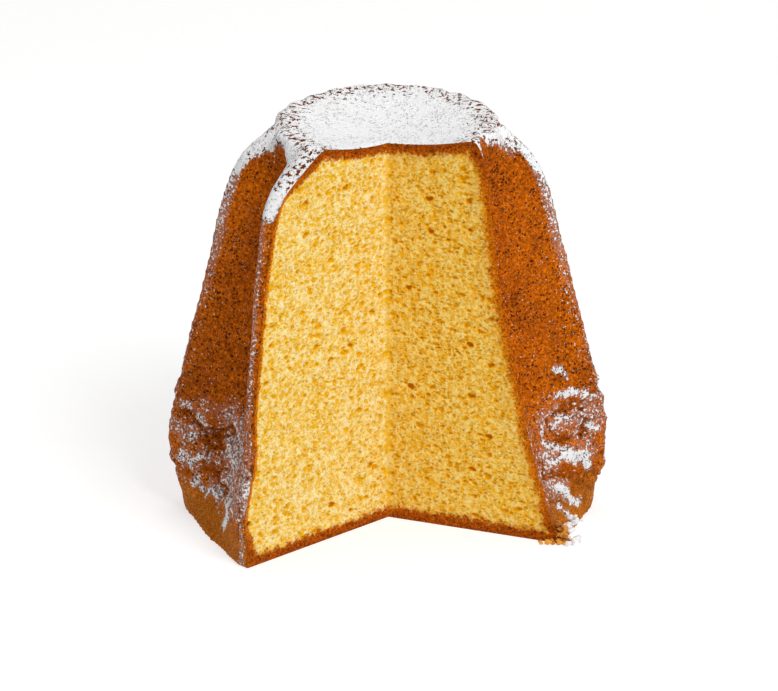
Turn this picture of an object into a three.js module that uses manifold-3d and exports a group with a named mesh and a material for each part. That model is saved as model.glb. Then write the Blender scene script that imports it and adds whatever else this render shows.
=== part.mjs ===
// A pandoro: a tall star-shaped sweet bread, standing on its wide end, with a wedge cut out of its front.
// Millimetres, +Z up. The origin is on the loaf's own axis, on its base, and the wedge opens towards -Y.
import * as THREE from "three";
import { mergeVertices } from "three/addons/utils/BufferGeometryUtils.js";
import { ImprovedNoise } from "three/addons/math/ImprovedNoise.js";
import Module from "manifold-3d";

// Driving dimensions, in millimetres unless the name says degrees.
const loafHeight = 188;
const loafRadius = 99.4; // to the tip of a ridge, where the loaf is widest
const ridgeCount = 8;
const firstRidgeDegrees = -45; // from -Y towards +X, like the two knife cuts
const wedgeLeftDegrees = -49;
const wedgeRightDegrees = 69;
const wedgeTip = new THREE.Vector2(0, -13); // the knife stopped short of the axis
const rimRidgeRadius = 49; // the raised, nearly round edge of the top
const rimFurrowRadius = 46.5;
const topDip = 6.5; // how far the middle of the top has sunk below its rim
const shoulderHeight = 0.8 * loafHeight; // where the side starts to round over into the top
const shoulderRise = 0.47; // how far the rounding keeps to the side's slope, as a share of its height
const shoulderReach = 0.28; // how far it runs level before the rim, as a share of its width
const ridgeRounding = 0.087; // 0 would make the ridges and the furrows between them sharp

// How coarse the faceted surface is.
const facetsPerRidge = 20;
const sideRows = 28;
const shoulderRows = 10;
const topRows = 6;
const rowCrowding = 0.4; // rows lie closer towards the base, where the crust is lumpy; 0 spaces them evenly

// Each curve below runs up the side. The first number is a height, as a share of loafHeight, and the
// second a radius, as a share of loafRadius. The dough rose past the tin's rim and bulged there, so the
// loaf is widest a little above its base. The furrows are deepest where the tin shaped them and run out
// at both ends.
const ridgeCurve = curveThrough([
  [0, 0.942],
  [0.04, 0.949],
  [0.09, 0.979],
  [0.16, 1],
  [0.28, 0.983],
  [0.42, 0.919],
  [0.6, 0.833],
  [0.8, 0.746],
]);
const furrowCurve = curveThrough([
  [0, 0.897],
  [0.05, 0.832],
  [0.12, 0.782],
  [0.22, 0.705],
  [0.35, 0.641],
  [0.55, 0.552],
  [0.8, 0.484],
]);

// The ridge beside the left cut bulges less than the others, and its top corner is squarer. The second
// number is its radius over theirs.
const oddRidgeCurve = curveThrough([
  [0, 1],
  [0.12, 0.95],
  [0.25, 0.905],
  [0.42, 0.96],
  [0.6, 1.016],
  [0.8, 1.068],
  [0.92, 1.08],
  [0.96, 1.01],
  [1, 0.934],
]);

// Bumps in the crust: folds where the dough rose free of the tin, faint waves where the tin pressed it.
const foldWidth = 30;
const foldHeight = 15; // flatter than wide, as if sagging
const foldDepth = 3;
const foldBottom = 0.14 * loafHeight; // the folds grow from the base up to here
const foldFadeStart = 0.24 * loafHeight; // heights between which they give way to the waves
const foldFadeEnd = 0.46 * loafHeight;
const waveDepth = 0.9;
const bumpSeed = 19; // moves the whole pattern of bumps

const degrees = Math.PI / 180;
const { lerp, smoothstep } = THREE.MathUtils;
const noise = new ImprovedNoise();

// A smooth function of the height share through the pairs given.
function curveThrough(pairs) {
  const heights = pairs.map(([height]) => height);
  const values = pairs.map(([, value]) => value);
  const curve = new THREE.CubicInterpolant(heights, values, 1);
  return (height) => curve.evaluate(height)[0];
}

// The profile from the middle of the base, up a ridge and in to the middle of the top: the ridge and
// furrow radii at each height, and how far the crust there faces up, from 0 on the side to 1 on the top.
function loafProfile() {
  const stations = [{ ridge: 0, furrow: 0, height: 0, facingUp: 0 }];
  for (let i = 0; i <= sideRows; i++) {
    const share = i / sideRows;
    const height = shoulderHeight * share * lerp(1 - rowCrowding, 1, share);
    stations.push({
      ridge: loafRadius * ridgeCurve(height / loafHeight),
      furrow: loafRadius * furrowCurve(height / loafHeight),
      height,
      facingUp: 0,
    });
  }
  const [below, top] = stations.slice(-2);
  const ridgeShoulder = shoulderCurve(below.ridge, top.ridge, rimRidgeRadius, top.height - below.height);
  const furrowShoulder = shoulderCurve(below.furrow, top.furrow, rimFurrowRadius, top.height - below.height);
  for (let i = 1; i <= shoulderRows; i++) {
    const ridge = ridgeShoulder.getPoint(i / shoulderRows);
    const furrow = furrowShoulder.getPoint(i / shoulderRows);
    const facingUp = smoothstep(ridge.y, shoulderHeight, loafHeight);
    stations.push({ ridge: ridge.x, furrow: furrow.x, height: ridge.y, facingUp });
  }
  for (let i = topRows - 1; i >= 0; i--) {
    const share = i / topRows;
    stations.push({
      ridge: rimRidgeRadius * share,
      furrow: rimFurrowRadius * share,
      height: loafHeight - topDip * (1 - share * share),
      facingUp: 1,
    });
  }
  return stations;
}

// The rounding from the side to the rim, as radius and height: it leaves along the side's slope, taken
// from the last two rows, and arrives level.
function shoulderCurve(belowRadius, topRadius, rimRadius, rowHeight) {
  const rise = shoulderRise * (loafHeight - shoulderHeight);
  const slope = (topRadius - belowRadius) / rowHeight;
  return new THREE.CubicBezierCurve(
    new THREE.Vector2(topRadius, shoulderHeight),
    new THREE.Vector2(topRadius + slope * rise, shoulderHeight + rise),
    new THREE.Vector2(lerp(rimRadius, topRadius, shoulderReach), loafHeight),
    new THREE.Vector2(rimRadius, loafHeight),
  );
}

// The star's radius at a direction from the first ridge: straight flanks from ridge to furrow, both rounded.
function starRadius(direction, ridge, furrow) {
  const halfRidge = Math.PI / ridgeCount;
  const tip = Math.acos(1 - ridgeRounding);
  const wave = Math.acos((1 - ridgeRounding) * Math.cos(ridgeCount * direction));
  const fromRidge = (halfRidge * (wave - tip)) / (Math.PI - 2 * tip);
  const span = ridge * Math.sin(fromRidge) + furrow * Math.sin(halfRidge - fromRidge);
  return span > 0 ? (ridge * furrow * Math.sin(halfRidge)) / span : 0;
}

// The odd ridge's factor, which fades out at the furrows on both sides of it.
function oddRidgeAt(direction, height) {
  const turned = Math.min(direction, 2 * Math.PI - direction);
  const closeness = 1 - smoothstep(turned, 0, Math.PI / ridgeCount);
  return lerp(1, oddRidgeCurve(height / loafHeight), closeness);
}

// How far the crust stands out at a point. Folds are round-backed with creases between them, which the
// noise's absolute value gives.
function bumpAt(point) {
  const octave = (size) =>
    noise.noise(
      point.x / (foldWidth * size) + bumpSeed,
      point.y / (foldWidth * size),
      point.z / (foldHeight * size) + size,
    );
  const grown = smoothstep(point.z, 0, foldBottom);
  const folds = foldDepth * grown * (Math.abs(octave(1)) + 0.6 * Math.abs(octave(0.55)) - 0.3);
  const waves = waveDepth * octave(1.3);
  return lerp(folds, waves, smoothstep(point.z, foldFadeStart, foldFadeEnd));
}

// The whole loaf: a lathe turned from the profile, whose rings are then drawn into a star with bumps.
function wholeLoaf() {
  const stations = loafProfile();
  const segments = ridgeCount * facetsPerRidge;
  const outline = stations.map((station) => new THREE.Vector2(station.ridge, station.height));
  const loaf = new THREE.LatheGeometry(outline, segments);
  const position = loaf.getAttribute("position");
  const point = new THREE.Vector3();
  for (let i = 0; i < position.count; i++) {
    const { ridge, furrow, height, facingUp } = stations[i % stations.length];
    const turn = Math.floor(i / stations.length) % segments; // the last column is the first again
    const direction = (turn / segments) * 2 * Math.PI;
    const azimuth = direction + firstRidgeDegrees * degrees;
    const reach = starRadius(direction, ridge, furrow) * oddRidgeAt(direction, height);
    point.set(reach * Math.sin(azimuth), -reach * Math.cos(azimuth), height);
    if (reach > 0 || height > 0) {
      const bump = bumpAt(point);
      point.x += bump * Math.sin(azimuth) * (1 - facingUp);
      point.y -= bump * Math.cos(azimuth) * (1 - facingUp);
      point.z += bump * facingUp;
    }
    position.setXYZ(i, point.x, point.y, point.z);
  }
  return loaf;
}

// The wedge that the knife takes out: a tall prism with its edge at wedgeTip.
function removedWedge() {
  const far = 2 * loafRadius;
  const overhang = 10; // past the base and the top
  const ray = (angle) =>
    new THREE.Vector2(far * Math.sin(angle * degrees), -far * Math.cos(angle * degrees)).add(wedgeTip);
  const outline = new THREE.Shape([
    wedgeTip,
    ray(wedgeLeftDegrees),
    ray((wedgeLeftDegrees + wedgeRightDegrees) / 2),
    ray(wedgeRightDegrees),
  ]);
  const prism = new THREE.ExtrudeGeometry(outline, {
    depth: loafHeight + 2 * overhang,
    bevelEnabled: false,
  });
  return prism.translate(0, 0, -overhang);
}

// A closed three.js geometry as a manifold-3d solid.
function solidFrom(wasm, geometry) {
  const bare = new THREE.BufferGeometry();
  bare.setAttribute("position", geometry.getAttribute("position"));
  bare.setIndex(geometry.getIndex());
  const merged = mergeVertices(bare, 1e-4);
  return new wasm.Manifold(
    new wasm.Mesh({
      numProp: 3,
      vertProperties: new Float32Array(merged.getAttribute("position").array),
      triVerts: new Uint32Array(merged.getIndex().array),
    }),
  );
}

function geometryFrom(solid) {
  const mesh = solid.getMesh();
  const geometry = new THREE.BufferGeometry();
  geometry.setAttribute("position", new THREE.BufferAttribute(mesh.vertProperties, 3));
  geometry.setIndex(new THREE.BufferAttribute(mesh.triVerts, 1));
  geometry.computeVertexNormals();
  return geometry;
}

const wasm = await Module();
wasm.setup();

function pandoro() {
  const loaf = solidFrom(wasm, wholeLoaf()).subtract(solidFrom(wasm, removedWedge()));
  const crust = new THREE.MeshStandardMaterial({ color: 0xa8641c, roughness: 0.8, metalness: 0 });
  const mesh = new THREE.Mesh(geometryFrom(loaf), crust);
  mesh.name = "pandoro";
  return mesh;
}

const part = new THREE.Group();
part.add(pandoro());

export default part;
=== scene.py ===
"""A pandoro, cut open: its browned crust, its egg-yellow crumb and its icing sugar, with a small studio.

Metres, +Z up. The loaf stands on its wide end on the floor, and the cut wedge opens towards -Y.
"""

import math
import random
from functools import partial

import bpy
import numpy as np
from bpy.props import FloatProperty, FloatVectorProperty, IntProperty, PointerProperty
from mathutils import Matrix, Vector, noise


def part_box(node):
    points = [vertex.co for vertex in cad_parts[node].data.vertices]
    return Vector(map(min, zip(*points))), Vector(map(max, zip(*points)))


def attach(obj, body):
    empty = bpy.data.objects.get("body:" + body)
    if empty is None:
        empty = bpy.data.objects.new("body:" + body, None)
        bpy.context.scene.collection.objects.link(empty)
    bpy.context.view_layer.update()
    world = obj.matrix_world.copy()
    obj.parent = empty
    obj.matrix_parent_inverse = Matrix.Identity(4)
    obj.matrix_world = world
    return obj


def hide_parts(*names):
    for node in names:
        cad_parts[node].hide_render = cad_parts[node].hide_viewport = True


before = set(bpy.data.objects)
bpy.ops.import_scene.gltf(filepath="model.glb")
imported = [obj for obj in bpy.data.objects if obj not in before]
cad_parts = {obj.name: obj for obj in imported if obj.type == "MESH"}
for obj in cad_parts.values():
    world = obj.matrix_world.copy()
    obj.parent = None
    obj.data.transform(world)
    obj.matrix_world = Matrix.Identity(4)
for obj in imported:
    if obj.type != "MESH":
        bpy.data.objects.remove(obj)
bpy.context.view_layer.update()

bl_info = {
    "name": "Cut pandoro",
    "version": (1, 0, 0),
    "blender": (4, 5, 0),
    "location": "3D View > Sidebar > Pandoro",
    "description": "Builds a star-shaped sweet loaf with a wedge cut out, and a studio around it",
    "category": "Object",
}

MM = 0.001
LOAF = "pandoro"
LOW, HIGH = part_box(LOAF)
HEIGHT = HIGH.z

# The knife cuts: two upright planes that meet on a line just in front of the loaf's axis. Each leads
# outwards from that line at an angle measured from -Y towards +X, with the missing wedge on one side of it.
CUT_LINE = Vector((0, -13 * MM, 0))
LEFT_CUT = math.radians(-49)
RIGHT_CUT = math.radians(69)

# What counts as lying in a cut: how far from its plane, and how much of the normal points across it.
FLAT_WITHIN = 0.02 * MM
FACING_SHARE = 0.95

RIDGES = 8
FIRST_RIDGE_DEGREES = -45

# Lines along the crust, in millimetres. Icing sugar has gathered along the drifts, on ledges and in hollows
# near the foot. Each starts with how much lies there and how far it reaches on both sides. Along the
# creases one fold of the crust meets the next. Each starts with its depth as a share of the deepest and its
# reach.
DRIFTS = (
    (0.72, 3.3, (75.3, -14.5, 59.2), (82.1, -10.6, 61.4), (92.3, -5.5, 56.2)),
    (0.7, 3.3, (76.7, -15.8, 48.0), (82.2, -12.9, 49.6), (95.2, -5.1, 40.3)),
    (0.76, 3.4, (67.5, -24.1, 41.9), (77.6, -17.8, 36.1), (90.6, -10.5, 28.8)),
    (0.8, 3.8, (73.1, -22.9, 31.8), (82.2, -16.0, 31.3), (89.7, -11.3, 24.7)),
    (0.82, 4.6, (75.8, -26.0, 20.4), (80.3, -22.2, 15.3), (84.9, -16.8, 9.0)),
    (0.86, 3.6, (76.4, -28.3, 11.1), (80.0, -25.7, 6.1)),
    (0.74, 2.8, (95.1, -0.4, 62.9), (95.6, -2.1, 56.7)),
    (0.66, 2.6, (74.7, -12.3, 73.9), (80.3, -10.4, 67.2)),
    (0.7, 2.6, (68.4, -21.3, 46.5), (68.9, -22.2, 42.0)),
    (0.9, 2.2, (-70.7, -38.1, 21.1), (-71.5, -43.4, 15.1)),
    (1.0, 4.4, (-71.5, -43.4, 15.1), (-74.3, -41.2, 9.3)),
    (0.5, 2.0, (-82.8, -14.9, 37.4), (-74.9, -19.3, 41.3), (-67.5, -26.5, 40.5)),
    (0.46, 8.0, (-91.6, -9.8, 28.3), (-85.1, -13.5, 30.8), (-78.7, -18.6, 31.1)),
    (0.5, 9.0, (-85.2, -15.6, 19.0), (-78.8, -23.5, 17.5), (-74.0, -31.3, 18.9)),
    (0.48, 6.0, (-93.0, -5.0, 52.0), (-88.6, -8.0, 52.2), (-84.9, -10.6, 49.3)),
    (0.45, 7.0, (-87.8, -10.9, 40.6), (-81.3, -13.8, 44.8)),
)
CREASES = (
    (0.9, 1.8, (70.6, -26.7, 29.2), (77.6, -22.5, 25.0), (82.0, -18.0, 25.5), (86.6, -14.0, 20.4)),
    (0.8, 1.8, (86.0, -14.6, 17.7), (88.9, -11.4, 11.3), (89.4, -11.0, 6.1)),
    (0.6, 1.8, (76.9, -14.0, 55.8), (83.1, -11.1, 57.2), (89.2, -7.0, 53.9)),
    (0.9, 2.2, (88.9, -11.5, 14.3), (93.0, -6.0, 12.0), (94.0, 0.0, 11.0)),
    (0.9, 2.0, (-93.0, -5.0, 34.5), (-87.7, -11.6, 36.5), (-80.2, -15.2, 37.5), (-74.5, -20.3, 38.0)),
    (0.5, 1.8, (-91.4, -7.6, 46.1), (-85.1, -10.9, 46.4)),
    (0.8, 2.0, (-84.9, -14.3, 24.9), (-78.7, -19.1, 26.4), (-71.4, -27.7, 29.6)),
    (0.6, 1.8, (-84.7, -19.6, 10.0), (-79.7, -28.3, 10.7), (-75.0, -35.2, 13.8)),
    (0.4, 1.6, (-79.7, -10.5, 67.2), (-72.5, -14.1, 69.0), (-66.7, -18.3, 68.7)),
    (0.4, 1.6, (-95.0, -3.0, 55.9), (-86.8, -8.5, 58.7)),
)

# The kinds of node that the patterns are mostly made of, and settings that many of them share. A RANGE
# takes a value, two limits for it, and what it becomes at each.
ATTRIBUTE = "ShaderNodeAttribute"
CELLS = "ShaderNodeTexVoronoi"
MATH = "ShaderNodeMath"
MIX = "ShaderNodeMix"
NOISE = "ShaderNodeTexNoise"
PARTS = "ShaderNodeSeparateXYZ"
RANGE = "ShaderNodeMapRange"
VECTOR = "ShaderNodeVectorMath"
COLOURS = {"data_type": "RGBA"}
MULTIPLY = {"operation": "MULTIPLY"}
SMOOTH = {"interpolation_type": "SMOOTHSTEP"}
SPAN = (0.3, 0.7)  # where nearly all of a noise's values lie


def linear(code):
    """An sRGB hex colour as linear red, green, blue and an alpha of 1."""
    parts = [int(code[i : i + 2], 16) / 255 for i in (1, 3, 5)]
    return (*(c / 12.92 if c <= 0.04045 else ((c + 0.055) / 1.055) ** 2.4 for c in parts), 1)


def fill(tree, node, inputs):
    """Fills a node's inputs, in order from a list or by name from a dict. A value is a number, a colour or
    a name, a socket to link, or a node, which stands for its first output."""
    open_inputs = [s for s in node.inputs if s.enabled]
    pairs = inputs.items() if isinstance(inputs, dict) else enumerate(inputs)
    for key, value in pairs:
        socket = open_inputs[key] if isinstance(key, int) else next(s for s in open_inputs if s.name == key)
        if isinstance(value, bpy.types.Node):
            value = next(s for s in value.outputs if s.enabled)
        if isinstance(value, bpy.types.NodeSocket):
            tree.links.new(value, socket)
        else:
            socket.default_value = value


def add_node(tree, kind, inputs=(), **settings):
    """Adds a node with its settings, then fills its inputs."""
    node = tree.nodes.new(kind)
    for name, value in settings.items():
        setattr(node, name, value)
    fill(tree, node, inputs)
    return node


def length_setting(name, description, default):
    return FloatProperty(name=name, description=description, subtype="DISTANCE", default=default)


def colour_setting(name, description, default):
    return FloatVectorProperty(
        name=name, description=description, subtype="COLOR", size=4, min=0, max=1, default=default
    )


class PANDORO_PG_settings(bpy.types.PropertyGroup):
    """Sizes and colours of the loaf, its sugar and the studio."""

    crust_spacing: length_setting("Crust spacing", "Side of the crust's quads", 1.3 * MM)
    crumb_spacing: length_setting("Crumb spacing", "Side of the crumb's quads", 0.55 * MM)
    pore_depth: length_setting("Pore depth", "How deep a wide pore in the crumb is", 1.0 * MM)
    lump_height: length_setting("Lump height", "How far the lumps near the base stand out", 1.2 * MM)
    crease_depth: length_setting("Crease depth", "How deep the creases between the folds are", 1.0 * MM)
    sugar_depth: length_setting("Sugar depth", "How thick the icing sugar lies on the top", 0.5 * MM)
    crust_light: colour_setting("Light crust", "The crust where it baked least", linear("#cc6400"))
    crust_brown: colour_setting("Brown crust", "The crust where it baked more", linear("#a64c02"))
    crust_dark: colour_setting("Dark crust", "The toasted grains of the crust", linear("#5c2606"))
    crumb_wall: colour_setting("Crumb wall", "The thin walls between the pores", linear("#ffe496"))
    # The pore colour is painted shade, in the pores and along the line where the cuts meet.
    crumb_pore_shade: colour_setting("Crumb pore", "The depth of the pores", linear("#f6bc1a"))
    # The right cut's tint is painted shade.
    right_cut_shade: colour_setting(
        "Right tint", "What the crumb of the right cut is tinted with", (1, 0.89, 0.54, 1)
    )
    sugar_white: colour_setting("Icing sugar", "The powder where it covers the crust", linear("#f8f8f9"))
    seed: IntProperty(name="Seed", description="Moves the loose crumbs and sugar lumps", default=4)
    camera_distance: length_setting("Camera distance", "From the camera to the loaf's middle", 2.5)


def deselect_all():
    if bpy.context.object and bpy.context.object.mode != "OBJECT":
        bpy.ops.object.mode_set(mode="OBJECT")
    bpy.ops.object.select_all(action="DESELECT")


def make_active(piece):
    deselect_all()
    piece.select_set(True)
    bpy.context.view_layer.objects.active = piece


def joined(pieces):
    """Joins pieces into the first of them."""
    deselect_all()
    for piece in pieces:
        piece.select_set(True)
    bpy.context.view_layer.objects.active = pieces[0]
    bpy.ops.object.join()
    return bpy.context.object


def edit(piece):
    make_active(piece)
    bpy.ops.object.mode_set(mode="EDIT")


def leave_facing_outwards():
    """Turns all faces of the mesh that is being edited outwards, and leaves it."""
    bpy.ops.mesh.select_all(action="SELECT")
    bpy.ops.mesh.normals_make_consistent(inside=False)
    bpy.ops.object.mode_set(mode="OBJECT")


def finish_piece(piece, material):
    piece.data.materials.clear()
    piece.data.materials.append(material)
    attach(piece, "root")
    deselect_all()


def face_arrays(mesh):
    """Each face's middle and normal, as rows."""
    centres = np.empty(len(mesh.polygons) * 3)
    normals = np.empty(len(mesh.polygons) * 3)
    mesh.polygons.foreach_get("center", centres)
    mesh.polygons.foreach_get("normal", normals)
    return centres.reshape(-1, 3), normals.reshape(-1, 3)


def cut_axes(angle):
    """The directions along a cut, outwards from where the cuts meet, and across it, into the wedge."""
    outwards = Vector((math.sin(angle), -math.cos(angle), 0))
    across = Vector((math.cos(angle), math.sin(angle), 0))
    return outwards, across if angle < 0 else -across


def on_cut(centres, normals):
    """True for the faces that lie in one of the two knife cuts."""
    found = np.zeros(len(centres), bool)
    for angle in (LEFT_CUT, RIGHT_CUT):
        outwards, across = (np.array(axis) for axis in cut_axes(angle))
        offset = centres - np.array(CUT_LINE)
        in_plane = np.abs(offset @ across) < FLAT_WITHIN
        found |= in_plane & (offset @ outwards > 0) & (np.abs(normals @ across) > FACING_SHARE)
    return found


# --------------------------------------------------
# Patterns that both the relief and the materials read, so that they lie on each other.


def bent_place(tree, place, waver, reach):
    """A place shifted by a smooth noise of the size waver, so that what is drawn there isn't regular."""
    add = partial(add_node, tree)
    bend = add(NOISE, {"Vector": place, "Scale": 1 / waver, "Detail": 1.0})
    centred = add(VECTOR, [bend.outputs["Color"], (0.5, 0.5, 0.5)], operation="SUBTRACT")
    shift = add(VECTOR, {"Vector": centred, "Scale": reach}, operation="SCALE")
    return add(VECTOR, [place, shift], operation="ADD")


def distance_from(tree, level, value):
    """How far a value is from a level, above or below it."""
    off_level = add_node(tree, MATH, [value, level], operation="SUBTRACT")
    return add_node(tree, MATH, [off_level], operation="ABSOLUTE")


def pore_pattern(tree, place):
    """How deep the crumb is at a place, from 0 on a wall to 1 in a wide pore and 1.25 in the widest. The
    dough rose into a fine foam of bubbles about 2 mm wide, crossed by the strands that the knife tore up,
    with wider bubbles here and there."""
    add = partial(add_node, tree)
    flat = add(VECTOR, [place, (1.0, 1.0, 1.35)], **MULTIPLY)
    bent = bent_place(tree, flat, 3.2 * MM, 3.0 * MM)
    foam = 1 / (2.3 * MM)
    walls = add(CELLS, {"Vector": bent, "Scale": foam}, feature="DISTANCE_TO_EDGE")
    cells = add(CELLS, {"Vector": bent, "Scale": foam})
    floor = add(RANGE, [walls, 0.03, 0.26, 0.0, 1.0], **SMOOTH)
    chance = add(PARTS, [cells.outputs["Color"]])
    own = add(RANGE, [chance, 0.0, 1.0, 0.25, 0.8])
    drawn = add(VECTOR, [bent, (1.0, 1.0, 1.5)], **MULTIPLY)
    torn = add(NOISE, {"Vector": drawn, "Scale": 1 / (2.8 * MM), "Detail": 1.0})
    off_strand = distance_from(tree, 0.5, torn)
    off_strand = add(RANGE, [off_strand, 0.005, 0.075, 0.0, 1.0], **SMOOTH)
    total = add(MATH, [floor, own], **MULTIPLY)
    total = add(MATH, [total, off_strand], **MULTIPLY)
    crowd_height = 0.53 * HEIGHT
    from_crowd = distance_from(tree, crowd_height, add(PARTS, [place]).outputs["Z"])
    crowd = add(RANGE, [from_crowd, 0.01 * HEIGHT, 0.09 * HEIGHT, 1.0, 0.0], **SMOOTH)
    # cell size, radius of the bubble's floor and rim in cells, share of cells that are bubbles, how much
    # larger that share is half-way up the loaf, depth
    for cell, bottom, rim, share, crowding, depth in (
        (3.4 * MM, 0.2, 0.44, 0.34, 0.1, 0.85),
        (6.4 * MM, 0.18, 0.34, 0.16, 0.34, 0.92),
        (9.0 * MM, 0.12, 0.25, 0.2, 0.2, 1.25),
    ):
        share = add(MATH, [crowd, crowding, share], operation="MULTIPLY_ADD")
        bubbles = add(CELLS, {"Vector": bent, "Scale": 1 / cell})
        bubble = add(RANGE, [bubbles, bottom, rim, depth, 0.0], **SMOOTH)
        chance = add(PARTS, [bubbles.outputs["Color"]])
        chosen = add(MATH, [chance, share], operation="LESS_THAN")
        layer = add(MATH, [bubble, chosen], **MULTIPLY)
        total = add(MATH, [total, layer], operation="MAXIMUM")
    return total


def fold_pattern(tree, place):
    """The folds low down on the crust: flat lumps, which slope down on the right, with creases between them.
    Gives how far a lump stands out and how deep a crease is, both from 0 to 1."""
    add = partial(add_node, tree)
    parts = add(PARTS, [place])
    right = add(MATH, [parts.outputs["X"], 0.0], operation="MAXIMUM")
    sloped = add(MATH, [right, 0.4, parts.outputs["Z"]], operation="MULTIPLY_ADD")
    leant = add("ShaderNodeCombineXYZ", [parts.outputs["X"], parts.outputs["Y"], sloped])
    bent = bent_place(tree, leant, 20 * MM, 12 * MM)
    flat = add(VECTOR, [bent, (1.0, 1.0, 1.9)], **MULTIPLY)
    folds = add(NOISE, {"Vector": flat, "Scale": 1 / (27 * MM), "Detail": 2.0, "Roughness": 0.4})
    size = distance_from(tree, 0.5, folds)
    lump = add(RANGE, [size, 0.0, 0.1, 0.0, 1.0], **SMOOTH)
    crease = add(RANGE, [size, 0.0, 0.022, 1.0, 0.0], **SMOOTH)
    return lump, crease


# --------------------------------------------------
# The relief


def relief_tree(settings):
    """Geometry nodes that press the pores into the crumb, and raise the folds and the sugar on the crust.
    They leave what the materials need as attributes: place, skin, crease and sugar."""
    tree = bpy.data.node_groups.new("Relief", "GeometryNodeTree")
    add = partial(add_node, tree)
    tree.interface.new_socket("Geometry", in_out="INPUT", socket_type="NodeSocketGeometry")
    tree.interface.new_socket("Geometry", in_out="OUTPUT", socket_type="NodeSocketGeometry")
    start = add("NodeGroupInput")
    end = add("NodeGroupOutput")
    position = add("GeometryNodeInputPosition")
    normal = add("GeometryNodeInputNormal")
    cut, drift, fold = (
        add("GeometryNodeInputNamedAttribute", {"Name": name}, data_type="FLOAT")
        for name in ("cut", "drift", "fold")
    )
    place = add(PARTS, [position])
    height = place.outputs["Z"]
    upwards = add(PARTS, [normal]).outputs["Z"]

    is_cut = add(MATH, [cut, 0.5], operation="GREATER_THAN")
    parted = add("GeometryNodeSeparateGeometry", [start, is_cut], domain="FACE")
    to_skin = add("GeometryNodeProximity", {"Geometry": parted.outputs["Inverted"]}, target_element="FACES")
    to_cut = add("GeometryNodeProximity", {"Geometry": parted.outputs["Selection"]}, target_element="FACES")
    skin = to_skin.outputs["Distance"]

    # The crumb sinks in its pores, and not along its own border.
    pores = pore_pattern(tree, position)
    inside = add(RANGE, [skin, 0.4 * MM, 2.4 * MM, 0.0, 1.0], **SMOOTH)
    swell = add(NOISE, {"Vector": position, "Scale": 1 / (14 * MM), "Detail": 1.0})
    swell_depth = add(RANGE, [swell, *SPAN, 0.0, 0.5 * MM])
    sunk = add(MATH, [pores, settings.pore_depth, swell_depth], operation="MULTIPLY_ADD")
    from_fold = add(VECTOR, [position, tuple(CUT_LINE)], operation="SUBTRACT")
    from_fold = add(VECTOR, [from_fold, (1.0, 1.0, 0.0)], **MULTIPLY)
    from_fold = add(VECTOR, [from_fold], operation="LENGTH")
    off_fold = add(RANGE, [from_fold.outputs["Value"], 0.0, 1.6 * MM, 0.0, 1.0], **SMOOTH)
    crumb_move = sunk
    for factor in (inside, off_fold, -1.0):
        crumb_move = add(MATH, [crumb_move, factor], **MULTIPLY)

    # Directions round the axis: 1 towards a ridge's crest, and -1 towards the furrows.
    angle = add(MATH, [place.outputs["X"], place.outputs["Y"]], operation="ARCTAN2")
    start_turn = math.radians((FIRST_RIDGE_DEGREES - 180) * RIDGES)
    turned = add(MATH, [angle, RIDGES, start_turn], operation="MULTIPLY_ADD")
    towards_crest = add(MATH, [turned], operation="COSINE")
    level_place = add(VECTOR, [position, (1.0, 1.0, 0.0)], **MULTIPLY)
    radius = add(VECTOR, [level_place], operation="LENGTH").outputs["Value"]

    # The crust: folds low down, where the dough rose free of the tin, and faint waves above.
    low = add(RANGE, [height, 0.24 * HEIGHT, 0.42 * HEIGHT, 1.0, 0.0], **SMOOTH)
    off_base = add(RANGE, [height, 0.03 * HEIGHT, 0.11 * HEIGHT, 0.0, 1.0], **SMOOTH)
    lump, crease = fold_pattern(tree, position)
    folded = add(MATH, [low, off_base], **MULTIPLY)
    crease = add(MATH, [crease, folded], **MULTIPLY)
    crease = add(MATH, [crease, fold], operation="MAXIMUM")
    lump_up = add(MATH, [lump, 0.45], operation="SUBTRACT")
    lump_up = add(MATH, [lump_up, folded], **MULTIPLY)
    knob = add(NOISE, {"Vector": position, "Scale": 1 / (5 * MM), "Detail": 3.0, "Roughness": 0.6})
    knob_up = add(RANGE, [knob, *SPAN, -1.0, 1.0])
    knob_size = add(RANGE, [folded, 0.0, 1.0, 0.2 * MM, 0.9 * MM])
    relief = add(MATH, [knob_up, knob_size], **MULTIPLY)
    relief = add(MATH, [lump_up, settings.lump_height, relief], operation="MULTIPLY_ADD")
    relief = add(MATH, [crease, -settings.crease_depth, relief], operation="MULTIPLY_ADD")

    # Away from the cuts the ridges round over softly into the top, and the furrows run out just below it.
    off_shoulder = distance_from(tree, 0.975 * HEIGHT, height)
    shoulder = add(RANGE, [off_shoulder, 0.0, 0.065 * HEIGHT, 1.0, 0.0], **SMOOTH)
    levelled = add(RANGE, [towards_crest, -0.7, 0.8, 3.0 * MM, -3.0 * MM], **SMOOTH)
    for near in (
        add(RANGE, [radius, 40 * MM, 47 * MM, 0.0, 1.0], **SMOOTH),
        add(RANGE, [to_cut.outputs["Distance"], 3 * MM, 22 * MM, 0.0, 1.0], **SMOOTH),
        levelled,
    ):
        shoulder = add(MATH, [shoulder, near], **MULTIPLY)
    outwards = add(VECTOR, [level_place], operation="NORMALIZE")
    shoulder_move = add(VECTOR, {"Vector": outwards, "Scale": shoulder}, operation="SCALE")

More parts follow.
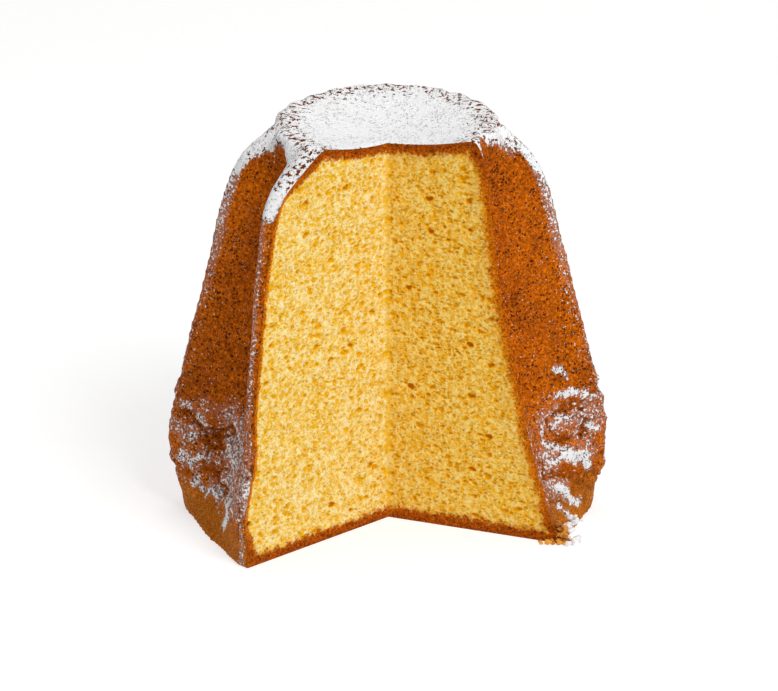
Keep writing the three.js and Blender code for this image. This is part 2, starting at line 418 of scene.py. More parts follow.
    # Icing sugar fell from above: all over the top, and further down on the crests of the ridges than
    # between them.
    crest = add(RANGE, [towards_crest, 0.72, 0.99, 0.0, 1.0], **SMOOTH)
    crest_line = add(RANGE, [towards_crest, 0.965, 0.995, 0.0, 1.0])
    wander = add(NOISE, {"Vector": position, "Scale": 1 / (13 * MM), "Detail": 3.0, "Roughness": 0.6})
    between = add(RANGE, [towards_crest, -1.0, 0.7, 0.968 * HEIGHT, 0.925 * HEIGHT])
    reach = add(RANGE, [crest, 0.0, 1.0, between, 0.86 * HEIGHT])
    beside_cut = add(RANGE, [to_cut.outputs["Distance"], 6 * MM, 12 * MM, 0.04 * HEIGHT, 0.0], **SMOOTH)
    on_right = add(MATH, [place.outputs["X"], 0.0], operation="GREATER_THAN")
    reach = add(MATH, [beside_cut, on_right, reach], operation="MULTIPLY_ADD")
    ragged = add(RANGE, [wander, *SPAN, -0.018 * HEIGHT, 0.018 * HEIGHT])
    edge = add(MATH, [reach, ragged], operation="ADD")
    above = add(MATH, [height, edge], operation="SUBTRACT")
    cap = add(RANGE, [above, -5 * MM, 3 * MM, 0.0, 0.78], **SMOOTH)
    dish = add(RANGE, [radius, 29 * MM, 45 * MM, 1.04, 0.6], **SMOOTH)
    at_top = add(MATH, [upwards, 0.7], operation="GREATER_THAN")
    is_high = add(MATH, [height, 0.9 * HEIGHT], operation="GREATER_THAN")
    at_top = add(MATH, [at_top, is_high], **MULTIPLY)
    dish = add(MATH, [dish, at_top], **MULTIPLY)
    off_top = add(MATH, [1.0, at_top], operation="SUBTRACT")
    cap = add(MATH, [cap, off_top], **MULTIPLY)
    sugar = add(MATH, [cap, dish], operation="MAXIMUM")
    # Further down it caught on the crests, on the tops of the folds and along the ledges.
    fringe_high = add(RANGE, [height, 0.5 * HEIGHT, 0.86 * HEIGHT, 0.2, 0.56])
    behind = add(RANGE, [place.outputs["Y"], -48 * MM, -25 * MM, 0.3, 1.0])
    fringe = add(MATH, [fringe_high, crest], **MULTIPLY)
    fringe = add(MATH, [fringe, behind], **MULTIPLY)
    line = add(MATH, [crest_line, 0.34], **MULTIPLY)
    patch = add(NOISE, {"Vector": position, "Scale": 1 / (15 * MM), "Detail": 3.0, "Roughness": 0.55})
    tops = add(MATH, [upwards, 0.55, patch], operation="MULTIPLY_ADD")
    dust = add(RANGE, [tops, 0.34, 0.76, 0.0, 0.5])
    dust = add(MATH, [dust, folded], **MULTIPLY)
    trace = add(MATH, [off_base, 0.08], **MULTIPLY)
    loose = add(RANGE, [knob, *SPAN, -0.28, 0.28])
    heaped = add(MATH, [drift, loose], operation="ADD")
    heaped = add(RANGE, [heaped, 0.05, 0.7, 0.0, 0.85])
    is_drift = add(MATH, [drift, 0.0], operation="GREATER_THAN")
    heaped = add(MATH, [heaped, is_drift], **MULTIPLY)
    for layer in (fringe, line, dust, trace, heaped):
        sugar = add(MATH, [sugar, layer], operation="MAXIMUM")
    # The base and the deep creases stay bare.
    bare = add(MATH, [crease, 0.8], **MULTIPLY)
    kept = add(MATH, [1.0, bare], operation="SUBTRACT")
    sugar = add(MATH, [sugar, kept], **MULTIPLY)
    under = add(RANGE, [upwards, -0.8, -0.5, 0.0, 1.0])
    sugar = add(MATH, [sugar, under], **MULTIPLY)
    thick = add(RANGE, [sugar, 0.4, 1.0, 0.0, settings.sugar_depth], **SMOOTH)

    # Nothing leaves the base's plane or the knife's edge.
    by_cut = add(RANGE, [to_cut.outputs["Distance"], 0.0, 2.5 * MM, 0.0, 1.0], **SMOOTH)
    by_base = add(RANGE, [height, 0.2 * MM, 5 * MM, 0.0, 1.0], **SMOOTH)
    crust_move = add(MATH, [relief, thick], operation="ADD")
    for factor in (by_cut, by_base):
        crust_move = add(MATH, [crust_move, factor], **MULTIPLY)

    move = add(MIX, {"Factor": is_cut, "A": crust_move, "B": crumb_move})
    offset = add(VECTOR, {"Vector": normal, "Scale": move}, operation="SCALE")
    offset = add(VECTOR, [offset, shoulder_move], operation="ADD")

    geometry = start
    for name, kind, value in (
        ("place", "FLOAT_VECTOR", position),
        ("skin", "FLOAT", skin),
        ("crease", "FLOAT", crease),
        ("sugar", "FLOAT", sugar),
    ):
        attribute = {"Geometry": geometry, "Name": name, "Value": value}
        geometry = add("GeometryNodeStoreNamedAttribute", attribute, data_type=kind, domain="POINT")
    moved = add("GeometryNodeSetPosition", {"Geometry": geometry, "Offset": offset})
    fill(tree, end, [moved])
    return tree


# --------------------------------------------------
# Materials


def new_material(name):
    material = bpy.data.materials.new(name)
    material.use_nodes = True
    tree = material.node_tree
    shader = next(n for n in tree.nodes if n.type == "BSDF_PRINCIPLED")
    return material, tree, shader


def baked_crust(settings):
    """Browned crust under icing sugar. The crust is a thin, dry, brittle skin, browned unevenly and pricked
    all over with fine pits from the tin, so it is matte with a faint oily shine. The sugar is a dull,
    grainy white powder that lies thick on the top and catches on whatever stands out further down."""
    material, tree, shader = new_material("baked_crust")
    add = partial(add_node, tree)
    place = add(ATTRIBUTE, attribute_name="place").outputs["Vector"]
    sugar = add(ATTRIBUTE, attribute_name="sugar").outputs["Fac"]
    crease = add(ATTRIBUTE, attribute_name="crease").outputs["Fac"]
    height = add(PARTS, [place]).outputs["Z"]

    tone = add(NOISE, {"Vector": place, "Scale": 1 / (26 * MM), "Detail": 3.0, "Roughness": 0.6})
    browned = add(RANGE, [tone, 0.38, 0.66, 0.0, 0.75], **SMOOTH)
    crust = add(MIX, {"Factor": browned, "A": settings.crust_light, "B": settings.crust_brown}, **COLOURS)
    # Near the base it is paler and smoother.
    foot = add(RANGE, [height, 0.05 * HEIGHT, 0.14 * HEIGHT, 0.55, 0.0], **SMOOTH)
    crust = add(MIX, {"Factor": foot, "A": crust, "B": linear("#bd7418")}, **COLOURS)
    rough_share = add(RANGE, [foot, 0.0, 0.55, 1.0, 0.35])
    # Toasted grains about 1 mm wide, and pits about 1 mm apart, the finest that the render can show.
    grains = add(NOISE, {"Vector": place, "Scale": 1 / (1.7 * MM), "Detail": 3.0, "Roughness": 0.7})
    for shares, tint in (
        ((0.47, 0.68, 0.0, 0.7), settings.crust_dark),
        ((0.3, 0.45, 0.5, 0.0), linear("#e08a24")),
    ):
        share = add(RANGE, [grains, *shares])
        share = add(MATH, [share, rough_share], **MULTIPLY)
        crust = add(MIX, {"Factor": share, "A": crust, "B": tint}, **COLOURS)
    torn = bent_place(tree, place, 1.2 * MM, 1.6 * MM)
    pits = add(CELLS, {"Vector": torn, "Scale": 1 / (1.25 * MM)})
    pit = add(RANGE, [pits, 0.2, 0.5, 1.0, 0.0], **SMOOTH)
    chance = add(PARTS, [pits.outputs["Color"]])
    crowd = add(NOISE, {"Vector": place, "Scale": 1 / (11 * MM), "Detail": 1.0})
    crowding = add(RANGE, [crowd, 0.35, 0.65, 0.12, 0.5])
    chosen = add(MATH, [chance, crowding], operation="LESS_THAN")
    for factor in (chosen, rough_share):
        pit = add(MATH, [pit, factor], **MULTIPLY)
    pit_shade = add(MATH, [pit, 0.9], **MULTIPLY)
    crust = add(MIX, {"Factor": pit_shade, "A": crust, "B": linear("#2a1004")}, **COLOURS)
    crease_shade = add(MATH, [crease, 0.55], **MULTIPLY)
    crust = add(MIX, {"Factor": crease_shade, "A": crust, "B": linear("#4a1c06")}, **COLOURS)

    # The crust's finest grain, under 1 mm across.
    fine = add(NOISE, {"Vector": place, "Scale": 1 / (0.95 * MM), "Detail": 2.0, "Roughness": 0.7})
    grain_shade = add(RANGE, [fine, 0.34, 0.66, 0.55, 1.45])
    crust = add(VECTOR, {"Vector": crust, "Scale": grain_shade}, operation="SCALE")

    # A film of sugar greys the crust. Grains of it lie where there is more of it than a grainy noise asks
    # for, so it thins out in specks, and the crust shows through it in pits.
    pitted = add(RANGE, [sugar, 0.48, 0.58, 0.0, 1.0])
    film = add(RANGE, [sugar, 0.2, 0.5, 0.0, 0.28])
    thinned = add(MATH, [1.0, pitted], operation="SUBTRACT")
    film = add(MATH, [film, thinned], **MULTIPLY)
    # Painted shade: where the sugar lies thick, the crust in its pits is darkened.
    pitted = add(MATH, [pitted, 0.75], **MULTIPLY)
    crust = add(MIX, {"Factor": pitted, "A": crust, "B": linear("#54240c")}, **COLOURS)
    crust = add(MIX, {"Factor": film, "A": crust, "B": linear("#c4b6b2")}, **COLOURS)
    specks = add(NOISE, {"Vector": place, "Scale": 1 / (1.25 * MM), "Detail": 3.0, "Roughness": 0.65})
    holes = add(NOISE, {"Vector": place, "Scale": 1 / (2.2 * MM), "Detail": 3.0, "Roughness": 0.7})
    upper = add(RANGE, [height, 0.82 * HEIGHT, 0.93 * HEIGHT, 0.0, 1.0])
    needed = add(MIX, {"Factor": upper, "A": specks, "B": holes})
    needed = add(RANGE, [needed, *SPAN, 0.0, 1.0], clamp=False)
    over = add(MATH, [sugar, needed], operation="SUBTRACT")
    cover = add(RANGE, [over, -0.03, 0.05, 0.0, 1.0], **SMOOTH)
    powder_shade = add(RANGE, [fine, *SPAN, 0.88, 1.08])
    white = add(VECTOR, {"Vector": settings.sugar_white[:3], "Scale": powder_shade}, operation="SCALE")
    colour = add(MIX, {"Factor": cover, "A": crust, "B": white}, **COLOURS)
    roughness = add(RANGE, [cover, 0.0, 1.0, 0.6, 0.95])
    raised = add(MATH, [fine, grains], operation="ADD")
    raised = add(MATH, [pit, -1.2, raised], operation="MULTIPLY_ADD")
    raised = add(MATH, [cover, 0.8, raised], operation="MULTIPLY_ADD")
    bump = add("ShaderNodeBump", {"Height": raised, "Strength": 1.0, "Distance": 0.45 * MM})
    fill(tree, shader, {"Base Color": colour, "Roughness": roughness, "Normal": bump})
    fill(tree, shader, {"IOR": 1.45, "Specular IOR Level": 0.05})
    return material


def open_crumb(settings):
    """The soft crumb of a rich egg dough, torn open by the knife: thin pale walls round small
    bubbles. Light sinks into it a little. Its pores are painted a deeper, more orange yellow than the walls,
    as painted shade. It browns towards the skin."""
    material, tree, shader = new_material("open_crumb")
    add = partial(add_node, tree)
    place = add(ATTRIBUTE, attribute_name="place").outputs["Vector"]
    skin = add(ATTRIBUTE, attribute_name="skin").outputs["Fac"]
    parts = add(PARTS, [place])
    pores = pore_pattern(tree, place)
    strands = add(NOISE, {"Vector": place, "Scale": 1 / (2.4 * MM), "Detail": 4.0, "Roughness": 0.75})
    mottle = add(RANGE, [strands, 0.34, 0.66, -0.44, 0.44])
    patches = add(NOISE, {"Vector": place, "Scale": 1 / (5.5 * MM), "Detail": 3.0, "Roughness": 0.6})
    patch = add(RANGE, [patches, *SPAN, -0.18, 0.18])
    uneven = add(MATH, [mottle, patch], operation="ADD")
    depth = add(MATH, [pores, uneven], operation="ADD")
    # Painted shade: the deeper a pore, the more it takes the pore colour, with a random tone on top.
    pore_shade_and_tone = add(RANGE, [depth, -0.1, 0.4, 0.0, 1.0])
    crumb = add(MIX, {"Factor": pore_shade_and_tone, "A": settings.crumb_wall, "B": settings.crumb_pore_shade}, **COLOURS)
    # Painted shade makes wide pores a deeper yellow and the widest brown. The strands that stand out get a
    #     # painted highlight, a pale gleam.
    for shares, tint in (
        ((0.5, 0.9, 0.0, 0.9), "#eaa806"),
        ((0.95, 1.3, 0.0, 0.8), "#c0680a"),
        ((-0.45, 0.0, 0.6, 0.0), "#fff4cc"),
    ):
        share = add(RANGE, [depth, *shares])
        crumb = add(MIX, {"Factor": share, "A": crumb, "B": linear(tint)}, **COLOURS)
    # Painted shade: a thin, deeper golden line in the inner corner where the two cuts meet.
    from_inner_corner = add(MATH, [parts.outputs["X"]], operation="ABSOLUTE")
    edge = add(RANGE, [from_inner_corner, 0.2 * MM, 1.3 * MM, 0.6, 0.0])
    crumb = add(MIX, {"Factor": edge, "A": crumb, "B": settings.crumb_pore_shade}, **COLOURS)
    # Painted shade on the right cut: its crumb is painted a deeper yellow, and browner near its skin. It also
    #     # has a wider browned border.
    right = add(RANGE, [parts.outputs["X"], 0.0, 1.5 * MM, 0.0, 1.0])
    right_cut_shaded = {"Factor": right, "A": crumb, "B": settings.right_cut_shade}
    crumb = add(MIX, right_cut_shaded, **COLOURS, blend_type="MULTIPLY")
    right_skin_shade = add(RANGE, [skin, 3 * MM, 12 * MM, 0.2, 0.0], **SMOOTH)
    right_skin_shade = add(MATH, [right_skin_shade, right], **MULTIPLY)
    crumb = add(MIX, {"Factor": right_skin_shade, "A": crumb, "B": linear("#c68034")}, **COLOURS)
    # Browning: a dark skin, an orange band under it, then yellow. It is widest along the top and the base.
    from_middle = distance_from(tree, HEIGHT / 2, parts.outputs["Z"])
    near_end = add(RANGE, [from_middle, 0.39 * HEIGHT, 0.46 * HEIGHT, 0.0, 1.0])
    width = add(RANGE, [right, 0.0, 1.0, 2.2 * MM, 4.6 * MM])
    width = add(MIX, {"Factor": near_end, "A": width, "B": 6.0 * MM})
    share = add(MATH, [skin, width], operation="DIVIDE")
    waver = add(NOISE, {"Vector": place, "Scale": 1 / (3.5 * MM), "Detail": 3.0, "Roughness": 0.65})
    shift = add(RANGE, [waver, *SPAN, -0.28, 0.28])
    share = add(MATH, [share, shift], operation="ADD")
    share = add(MATH, [mottle, 0.45, share], operation="MULTIPLY_ADD")
    yellowing = add(RANGE, [share, 0.0, 0.8, 0.0, 1.0])
    band = add(MIX, {"Factor": near_end, "A": settings.crust_light, "B": settings.crust_brown}, **COLOURS)
    under_band = add(MIX, {"Factor": near_end, "A": linear("#e08812"), "B": linear("#c66008")}, **COLOURS)
    band = add(MIX, {"Factor": yellowing, "A": band, "B": under_band}, **COLOURS)
    shade_most = add(RANGE, [near_end, 0.0, 1.0, 0.25, 0.75])
    band_shade = add(RANGE, [strands, 0.45, 0.64, 0.0, shade_most])
    band = add(MIX, {"Factor": band_shade, "A": band, "B": linear("#6a2c06")}, **COLOURS)
    in_crumb = add(RANGE, [share, 0.7, 1.05, 0.0, 1.0])
    browned = add(MIX, {"Factor": in_crumb, "A": band, "B": crumb}, **COLOURS)
    # The finest grain, under 1 mm across, is stronger in the browned border.
    fine = add(NOISE, {"Vector": place, "Scale": 1 / (0.95 * MM), "Detail": 2.0, "Roughness": 0.7})
    grain = add(RANGE, [fine, *SPAN, -1.0, 1.0])
    strength = add(RANGE, [in_crumb, 0.0, 1.0, 0.7, 0.14])
    grain = add(MATH, [grain, strength, 1.0], operation="MULTIPLY_ADD")
    browned = add(VECTOR, {"Vector": browned, "Scale": grain}, operation="SCALE")
    sunk = add(MATH, [depth, -1.0], **MULTIPLY)
    bump = add("ShaderNodeBump", {"Height": sunk, "Strength": 0.6, "Distance": 0.6 * MM})
    fill(tree, shader, {"Base Color": browned, "Roughness": 0.8, "IOR": 1.4, "Specular IOR Level": 0.1})
    fill(tree, shader, {"Subsurface Weight": 0.12, "Subsurface Radius": (1.0, 0.55, 0.2), "Normal": bump})
    fill(tree, shader, {"Subsurface Scale": 1.2 * MM})
    return material


def powder(settings):
    """Loose icing sugar: a dull white powder that clumps."""
    material, tree, shader = new_material("icing_sugar_powder")
    add = partial(add_node, tree)
    place = add("ShaderNodeTexCoord").outputs["Object"]
    grain = add(NOISE, {"Vector": place, "Scale": 1 / (0.8 * MM), "Detail": 2.0})
    shade = add(RANGE, [grain, *SPAN, 0.0, 0.25])
    colour = add(MIX, {"Factor": shade, "A": settings.sugar_white, "B": linear("#dcd6cf")}, **COLOURS)
    bump = add("ShaderNodeBump", {"Height": grain, "Strength": 0.5, "Distance": 0.3 * MM})
    fill(tree, shader, {"Base Color": colour, "Roughness": 0.95, "Normal": bump})
    return material


def crumb_bits(settings):
    """Crumbs rubbed off by the knife: scraps of the yellow crumb with a toasted edge here and there."""
    material, tree, shader = new_material("loose_crumb")
    add = partial(add_node, tree)
    place = add("ShaderNodeTexCoord").outputs["Object"]
    toast = add(NOISE, {"Vector": place, "Scale": 1 / (3 * MM), "Detail": 2.0})
    share = add(RANGE, [toast, 0.42, 0.62, 0.0, 1.0])
    colour = add(MIX, {"Factor": share, "A": linear("#eba436"), "B": linear("#a8601c")}, **COLOURS)
    bump = add("ShaderNodeBump", {"Height": toast, "Strength": 0.6, "Distance": 0.4 * MM})
    fill(tree, shader, {"Base Color": colour, "Roughness": 0.8, "Normal": bump})
    return material


# --------------------------------------------------
# The loaf


def crease_sharp_edges(piece):
    """Creases the knife's edges and the base's, which stay sharp when the faceted sides are rounded."""
    edit(piece)
    bpy.ops.mesh.select_mode(type="EDGE")
    bpy.ops.mesh.select_all(action="DESELECT")
    bpy.ops.mesh.edges_select_sharp(sharpness=math.radians(50))
    bpy.ops.transform.edge_crease(value=1)
    bpy.ops.object.mode_set(mode="OBJECT")


def apply_modifier(piece, kind, **settings):
    make_active(piece)
    modifier = piece.modifiers.new(kind.title(), kind)
    for name, value in settings.items():
        setattr(modifier, name, value)
    bpy.ops.object.modifier_apply(modifier=modifier.name)


def rounded_loaf():
    """A copy of the loaf's solid, rounded between its facets."""
    piece = bpy.data.objects.new("pandoro_crust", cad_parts[LOAF].data.copy())
    bpy.context.scene.collection.objects.link(piece)
    edit(piece)
    bpy.ops.mesh.select_all(action="SELECT")
    bpy.ops.mesh.remove_doubles(threshold=0.001 * MM)
    bpy.ops.object.mode_set(mode="OBJECT")
    crease_sharp_edges(piece)
    apply_modifier(piece, "SUBSURF", levels=2, render_levels=2)
    return piece


def cut_wedge(spacing):
    """The wedge that the knife took out, with its two faces laid out in quads."""
    reach = 112 * MM  # past the widest ridge
    tall = HEIGHT + 14 * MM
    in_front = (20 * MM, -200 * MM, 0)
    columns = math.ceil(reach / spacing)
    rows = math.ceil(tall / spacing)
    sides = []
    for angle in (LEFT_CUT, RIGHT_CUT):
        deselect_all()
        bpy.ops.mesh.primitive_grid_add(x_subdivisions=columns, y_subdivisions=rows, size=1)
        side = bpy.context.object
        outwards, across = cut_axes(angle)
        middle = CUT_LINE + Vector((0, 0, HEIGHT / 2)) + outwards * reach / 2
        upright = Matrix((outwards * reach, Vector((0, 0, tall)), across)).transposed()
        side.data.transform(Matrix.Translation(middle) @ upright.to_4x4())
        sides.append(side)
    cutter = joined(sides)
    bpy.ops.object.mode_set(mode="EDIT")
    bpy.ops.mesh.select_mode(type="EDGE")
    bpy.ops.mesh.select_all(action="SELECT")
    bpy.ops.mesh.remove_doubles(threshold=0.01 * MM)
    select_open_border()
    bpy.ops.mesh.extrude_edges_move()
    bpy.ops.transform.resize(value=(0, 0, 1), center_override=in_front)
    bpy.ops.mesh.remove_doubles(threshold=0.01 * MM)
    leave_facing_outwards()
    return cutter


def select_open_border():
    bpy.ops.mesh.select_mode(type="EDGE")
    bpy.ops.mesh.select_all(action="DESELECT")
    bpy.ops.mesh.select_non_manifold(
        use_wire=False, use_multi_face=False, use_non_contiguous=False, use_verts=False
    )


def thickened(loaf, angle):
    """Adds a few millimetres of the loaf's own mirror image to one of the cuts, so that the crust runs on
    past the knife's edge. Returns the helpers that this takes."""
    outwards, across = cut_axes(angle)
    image = loaf.copy()
    image.data = loaf.data.copy()
    bpy.context.scene.collection.objects.link(image)
    mirror = Matrix.Translation(CUT_LINE) @ Matrix.Scale(-1, 4, across) @ Matrix.Translation(-CUT_LINE)
    image.data.transform(mirror)
    image.data.flip_normals()
    # The image is kept in a slab, 124 mm along the cut and 5 mm thick, that starts 0.1 mm behind the cut.
    deselect_all()
    bpy.ops.mesh.primitive_cube_add(size=1)
    slab = bpy.context.object
    middle = CUT_LINE + outwards * 50 * MM + across * 2.4 * MM + Vector((0, 0, HEIGHT / 2))
    upright = Matrix((outwards * 124 * MM, across * 5 * MM, Vector((0, 0, 1.2 * HEIGHT)))).transposed()
    slab.data.transform(Matrix.Translation(middle) @ upright.to_4x4())
    edit(slab)
    leave_facing_outwards()
    apply_modifier(image, "BOOLEAN", operation="INTERSECT", object=slab, solver="MANIFOLD")
    apply_modifier(loaf, "BOOLEAN", operation="UNION", object=image, solver="MANIFOLD")
    return image, slab


def even_loaf(spacing, crumb_spacing):
    """The loaf with even quads all over and a knife-sharp cut. The cuts are thickened, so that nothing ends
    at the knife's edges while the loaf is laid out again. Then the wedge is cut out once more, by faces
    with the crumb's finer quads."""
    loaf = rounded_loaf()
    helpers = [*thickened(loaf, LEFT_CUT), *thickened(loaf, RIGHT_CUT)]
    apply_modifier(loaf, "REMESH", mode="VOXEL", voxel_size=spacing)
    apply_modifier(loaf, "SMOOTH", factor=0.5, iterations=8)
    smoother_from, fade = 0.86, 0.08  # shares of the height
    top = loaf.vertex_groups.new(name="top")
    for vertex in loaf.data.vertices:
        share = (vertex.co.z / HEIGHT - smoother_from) / fade
        if share > 0:
            top.add([vertex.index], min(share, 1), "REPLACE")
    apply_modifier(loaf, "SMOOTH", factor=0.5, iterations=12, vertex_group="top")
    loaf.vertex_groups.clear()
    cutter = cut_wedge(crumb_spacing)
    apply_modifier(loaf, "BOOLEAN", operation="DIFFERENCE", object=cutter, solver="MANIFOLD")
    for helper in (*helpers, cutter):
        bpy.data.objects.remove(helper)
    return loaf


def nearness(points, lines):
    """How near each point is to the lines: a line's own amount on it, and 0 from its reach outwards. The
    lines waver by about a millimetre."""
    turned = points[:, [1, 2, 0]]
    turned_again = turned[:, [1, 2, 0]]
    broad_waver = 0.7 * MM * np.sin(turned / (1.6 * MM))
    fine_waver = 0.5 * MM * np.sin(turned_again / (0.7 * MM))
    points = points + broad_waver + fine_waver
    nearest = np.zeros(len(points))
    for amount, reach, *stops in lines:
        stops = np.array(stops) * MM
        for start, along in zip(stops, np.diff(stops, axis=0)):
            share = np.clip((points - start) @ along / (along @ along), 0, 1)
            distance = np.linalg.norm(points - start - np.outer(share, along), axis=1)
            nearest = np.maximum(nearest, amount * (1 - distance / (reach * MM)))
    return nearest


def mark_places(piece):
    """Marks the faces of the two cuts with the attribute cut, the drifts with drift, the creases with fold."""
    mesh = piece.data
    points = np.empty(len(mesh.vertices) * 3)
    mesh.vertices.foreach_get("co", points)
    points = points.reshape(-1, 3)
    for name, domain, values in (
        ("cut", "FACE", on_cut(*face_arrays(mesh))),
        ("drift", "POINT", nearness(points, DRIFTS)),
        ("fold", "POINT", nearness(points, CREASES)),
    ):
        mark = mesh.attributes.new(name, "FLOAT", domain)
        mark.data.foreach_set("value", values.astype(np.float32))


def apply_relief(piece, settings):
    make_active(piece)
    relief = piece.modifiers.new("Relief", "NODES")
    relief.node_group = relief_tree(settings)
    bpy.ops.object.modifier_apply(modifier=relief.name)


def close_inside(piece):
    """Closes a piece's open border inside the loaf: a lip leads in from the border, and from there
    everything meets at a point behind the axis. Both pieces close on the same faces, so they fill the loaf
    together."""
    middle = (0, 0, HEIGHT / 2)
    meeting_point = (0, 25 * MM, HEIGHT / 2)
    lip_depth = 10 * MM
    lip_narrowing = (0.88, 0.88, 0.9)
    edit(piece)
    select_open_border()
    bpy.ops.mesh.extrude_edges_move()
    bpy.ops.transform.translate(value=(0, lip_depth, 0))
    bpy.ops.transform.resize(value=lip_narrowing, center_override=middle)
    bpy.ops.mesh.extrude_edges_move()
    bpy.ops.transform.resize(value=(0, 0, 0), center_override=meeting_point)
    bpy.ops.mesh.remove_doubles(threshold=0.01 * MM)
    leave_facing_outwards()


class PANDORO_OT_bread(bpy.types.Operator):
    """Builds the loaf: its crust and the crumb that the cut shows"""

    bl_idname = "pandoro.bread"
    bl_label = "Bread"

    def execute(self, context):
        settings = context.scene.pandoro
        crust = even_loaf(settings.crust_spacing, settings.crumb_spacing)
        mark_places(crust)
        apply_relief(crust, settings)
        make_active(crust)
        cut = np.empty(len(crust.data.polygons), np.float32)
        crust.data.attributes["cut"].data.foreach_get("value", cut)
        crust.data.polygons.foreach_set("select", cut > 0.5)
        bpy.ops.object.mode_set(mode="EDIT")
        bpy.ops.mesh.select_mode(type="FACE")
        bpy.ops.mesh.separate(type="SELECTED")
        bpy.ops.object.mode_set(mode="OBJECT")
        crumb = next(o for o in context.selected_objects if o != crust)
        crumb.name = "pandoro_crumb"
        for piece, slot, material in (
            (crust, "crust", baked_crust(settings)),
            (crumb, "crumb", open_crumb(settings)),
        ):
            close_inside(piece)
            make_active(piece)
            bpy.ops.object.shade_smooth()
            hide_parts(LOAF)
            finish_piece(piece, material)
        return {"FINISHED"}


# --------------------------------------------------
# Loose bits at the foot of the right cut


def scatter(name, count, places, sizes, roughness, seed):
    """One piece of small uneven lumps, scattered round each of the places in turn by its own spread. A
    place at height 0 is on the floor."""
    seat = 0.42  # how high the middle of a lump on the floor is, as a share of its size
    waves = 2.2  # of the noise that makes a lump uneven, across it
    stretch_level, stretch_up = (0.7, 1.3), (0.6, 1.0)
    chance = random.Random(seed)
    parts = []
    deselect_all()
    for i in range(count):
        (x, y, z), spread = places[i % len(places)]
        size = chance.uniform(*sizes)
        middle = Vector((x + chance.gauss(0, spread), y + chance.gauss(0, spread), 0))
        middle.z = max(seat * size, z + chance.gauss(0, spread) if z else seat * size)
        bpy.ops.mesh.primitive_ico_sphere_add(subdivisions=2, radius=size / 2, location=middle)
        lump = bpy.context.object
        shift = Vector((chance.uniform(-9, 9), chance.uniform(-9, 9), i))
        ranges = (stretch_level, stretch_level, stretch_up)
        stretch = Vector([chance.uniform(*limits) for limits in ranges])
        for vertex in lump.data.vertices:
            swell = 1 + roughness * noise.noise(vertex.co / size * waves + shift)
            vertex.co = vertex.co * stretch * swell
        parts.append(lump)
    piece = joined(parts)
    bpy.ops.object.transform_apply(location=True, rotation=True, scale=True)
    piece.name = name
    for vertex in piece.data.vertices:
        vertex.co.z = max(vertex.co.z, 0.0)
    bpy.ops.object.shade_smooth()
    return piece


class PANDORO_OT_loose_bits(bpy.types.Operator):
    """Scatters the loose crumbs and sugar lumps at the foot of the right cut"""

    bl_idname = "pandoro.loose_bits"
    bl_label = "Loose crumbs and sugar"

    def execute(self, context):
        settings = context.scene.pandoro
        corner = Vector((78 * MM, -41 * MM, 0))  # about where the right cut meets floor and crust
        crumbs = scatter(
            "loose_crumbs",
            count=44,
            places=[
                (corner, 2.2 * MM),
                (corner + Vector((-3 * MM, -1 * MM, 0)), 2.6 * MM),
                (corner + Vector((0, 0, 4 * MM)), 1.4 * MM),
                (corner + Vector((-1 * MM, 1 * MM, 8 * MM)), 1.4 * MM),
            ],
            sizes=(1.2 * MM, 3.0 * MM),
            roughness=0.7,
            seed=settings.seed,
        )
        finish_piece(crumbs, crumb_bits(settings))
        lumps = scatter(
            "sugar_lumps",
            count=30,
            places=[
                (corner + Vector((3 * MM, 2 * MM, 6 * MM)), 1.6 * MM),
                (corner + Vector((5 * MM, 3 * MM, 9 * MM)), 1.6 * MM),
                (corner + Vector((5 * MM, 1 * MM, 0)), 2.2 * MM),
            ],
            sizes=(1.2 * MM, 3.6 * MM),
            roughness=0.6,
            seed=settings.seed + 1,
        )
        finish_piece(lumps, powder(settings))
        return {"FINISHED"}


# --------------------------------------------------
# The studio


def paper_floor():
    """A white sheet lit from below, as a light table is, so that shadows on it stay pale."""
    material, tree, shader = new_material("white_sheet")
    add = partial(add_node, tree)
    place = add("ShaderNodeTexCoord").outputs["Object"]
    fibre = add(NOISE, {"Vector": place, "Scale": 1 / (4 * MM), "Detail": 2.0})
    shade = add(RANGE, [fibre, *SPAN, 0.0, 1.0])
    colour = add(MIX, {"Factor": shade, "A": linear("#bebebe"), "B": linear("#bababa")}, **COLOURS)
    fill(tree, shader, {"Base Color": colour, "Roughness": 0.9, "Specular IOR Level": 0.1})
    fill(tree, shader, {"Emission Color": (1, 1, 1, 1), "Emission Strength": 0.62})
    return material


def add_light(name, place, aim, power, size, colour):
    """A square lamp that faces a point."""
    light = bpy.data.lights.new(name, "AREA")
    light.energy = power
    light.size = size
    light.color = colour
    lamp = bpy.data.objects.new(name, light)
    bpy.context.scene.collection.objects.link(lamp)
    lamp.location = place
    lamp.rotation_euler = (Vector(aim) - Vector(place)).to_track_quat("-Z", "Y").to_euler()


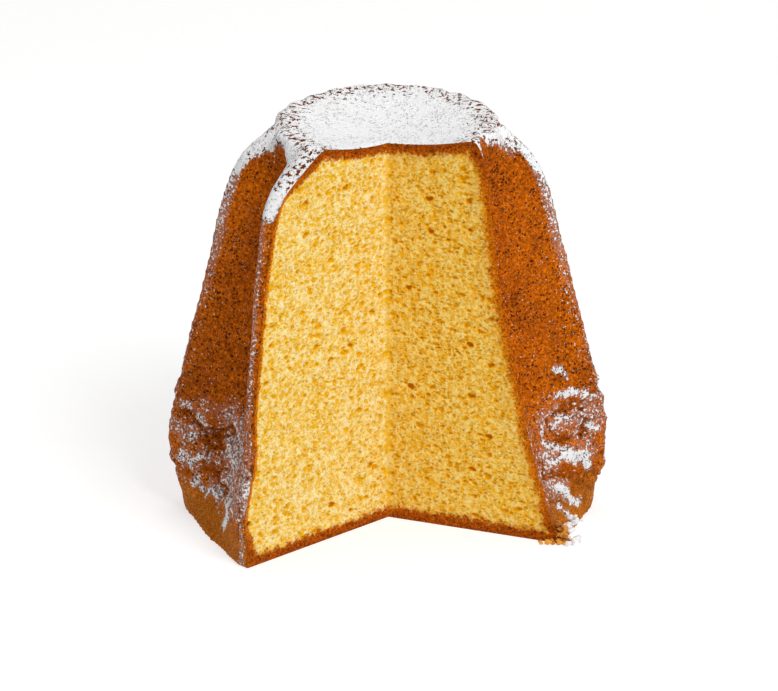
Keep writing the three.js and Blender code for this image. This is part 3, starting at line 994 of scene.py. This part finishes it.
class PANDORO_OT_studio(bpy.types.Operator):
    """Sets up the floor, the lights and the camera"""

    bl_idname = "pandoro.studio"
    bl_label = "Studio"

    def execute(self, context):
        settings = context.scene.pandoro
        scene = context.scene
        deselect_all()
        bpy.ops.mesh.primitive_plane_add(size=8)
        floor = context.object
        floor.name = "floor"
        floor.data.materials.append(paper_floor())

        world = bpy.data.worlds.new("studio_white")
        scene.world = world
        world.use_nodes = True
        sky = next(n for n in world.node_tree.nodes if n.type == "BACKGROUND")
        fill(world.node_tree, sky, {"Color": (1, 1, 1, 1), "Strength": 0.25})
        middle = (0, 0, 0.09)
        add_light("key", (0.9, -1.2, 1.9), middle, power=32, size=0.9, colour=(1, 0.985, 0.965))
        add_light("top", (0.0, 0.3, 1.95), middle, power=11, size=1.2, colour=(1, 1, 1))

        # The camera looks along +Y and down, and leans by a fifth of a degree.
        down = math.radians(22.879)
        lean = math.radians(-0.214)
        aim = Vector((0.569 * MM, 0, 79.07 * MM))
        forward = Vector((0, math.cos(down), -math.sin(down)))
        right = Vector((1, 0, 0))
        up = right.cross(forward)
        leaned_right = math.cos(lean) * right + math.sin(lean) * up
        leaned_up = leaned_right.cross(forward)
        place = aim - settings.camera_distance * forward
        camera = bpy.data.objects.new("camera", bpy.data.cameras.new("camera"))
        scene.collection.objects.link(camera)
        turn = Matrix((leaned_right, leaned_up, -forward)).transposed()
        camera.matrix_world = Matrix.Translation(place) @ turn.to_4x4()
        camera.data.sensor_width = 36
        camera.data.lens = 256.24
        camera.data.clip_end = 20
        scene.camera = camera
        scene.view_settings.view_transform = "Standard"
        scene.view_settings.look = "None"
        return {"FINISHED"}


class PANDORO_PT_panel(bpy.types.Panel):
    """Lists the loaf's settings and the steps that build it"""

    bl_label = "Pandoro"
    bl_idname = "PANDORO_PT_panel"
    bl_space_type = "VIEW_3D"
    bl_region_type = "UI"
    bl_category = "Pandoro"

    def draw(self, context):
        settings = context.scene.pandoro
        for name in PANDORO_PG_settings.__annotations__:
            self.layout.prop(settings, name)
        for step in STEPS:
            self.layout.operator(step.bl_idname)


STEPS = (PANDORO_OT_bread, PANDORO_OT_loose_bits, PANDORO_OT_studio)
CLASSES = (PANDORO_PG_settings, *STEPS, PANDORO_PT_panel)


def register():
    for each in CLASSES:
        bpy.utils.register_class(each)
    bpy.types.Scene.pandoro = PointerProperty(type=PANDORO_PG_settings)


def unregister():
    del bpy.types.Scene.pandoro
    for each in reversed(CLASSES):
        bpy.utils.unregister_class(each)


def main():
    register()
    bpy.ops.pandoro.bread()
    bpy.ops.pandoro.loose_bits()
    bpy.ops.pandoro.studio()


if __name__ == "__main__":
    main()
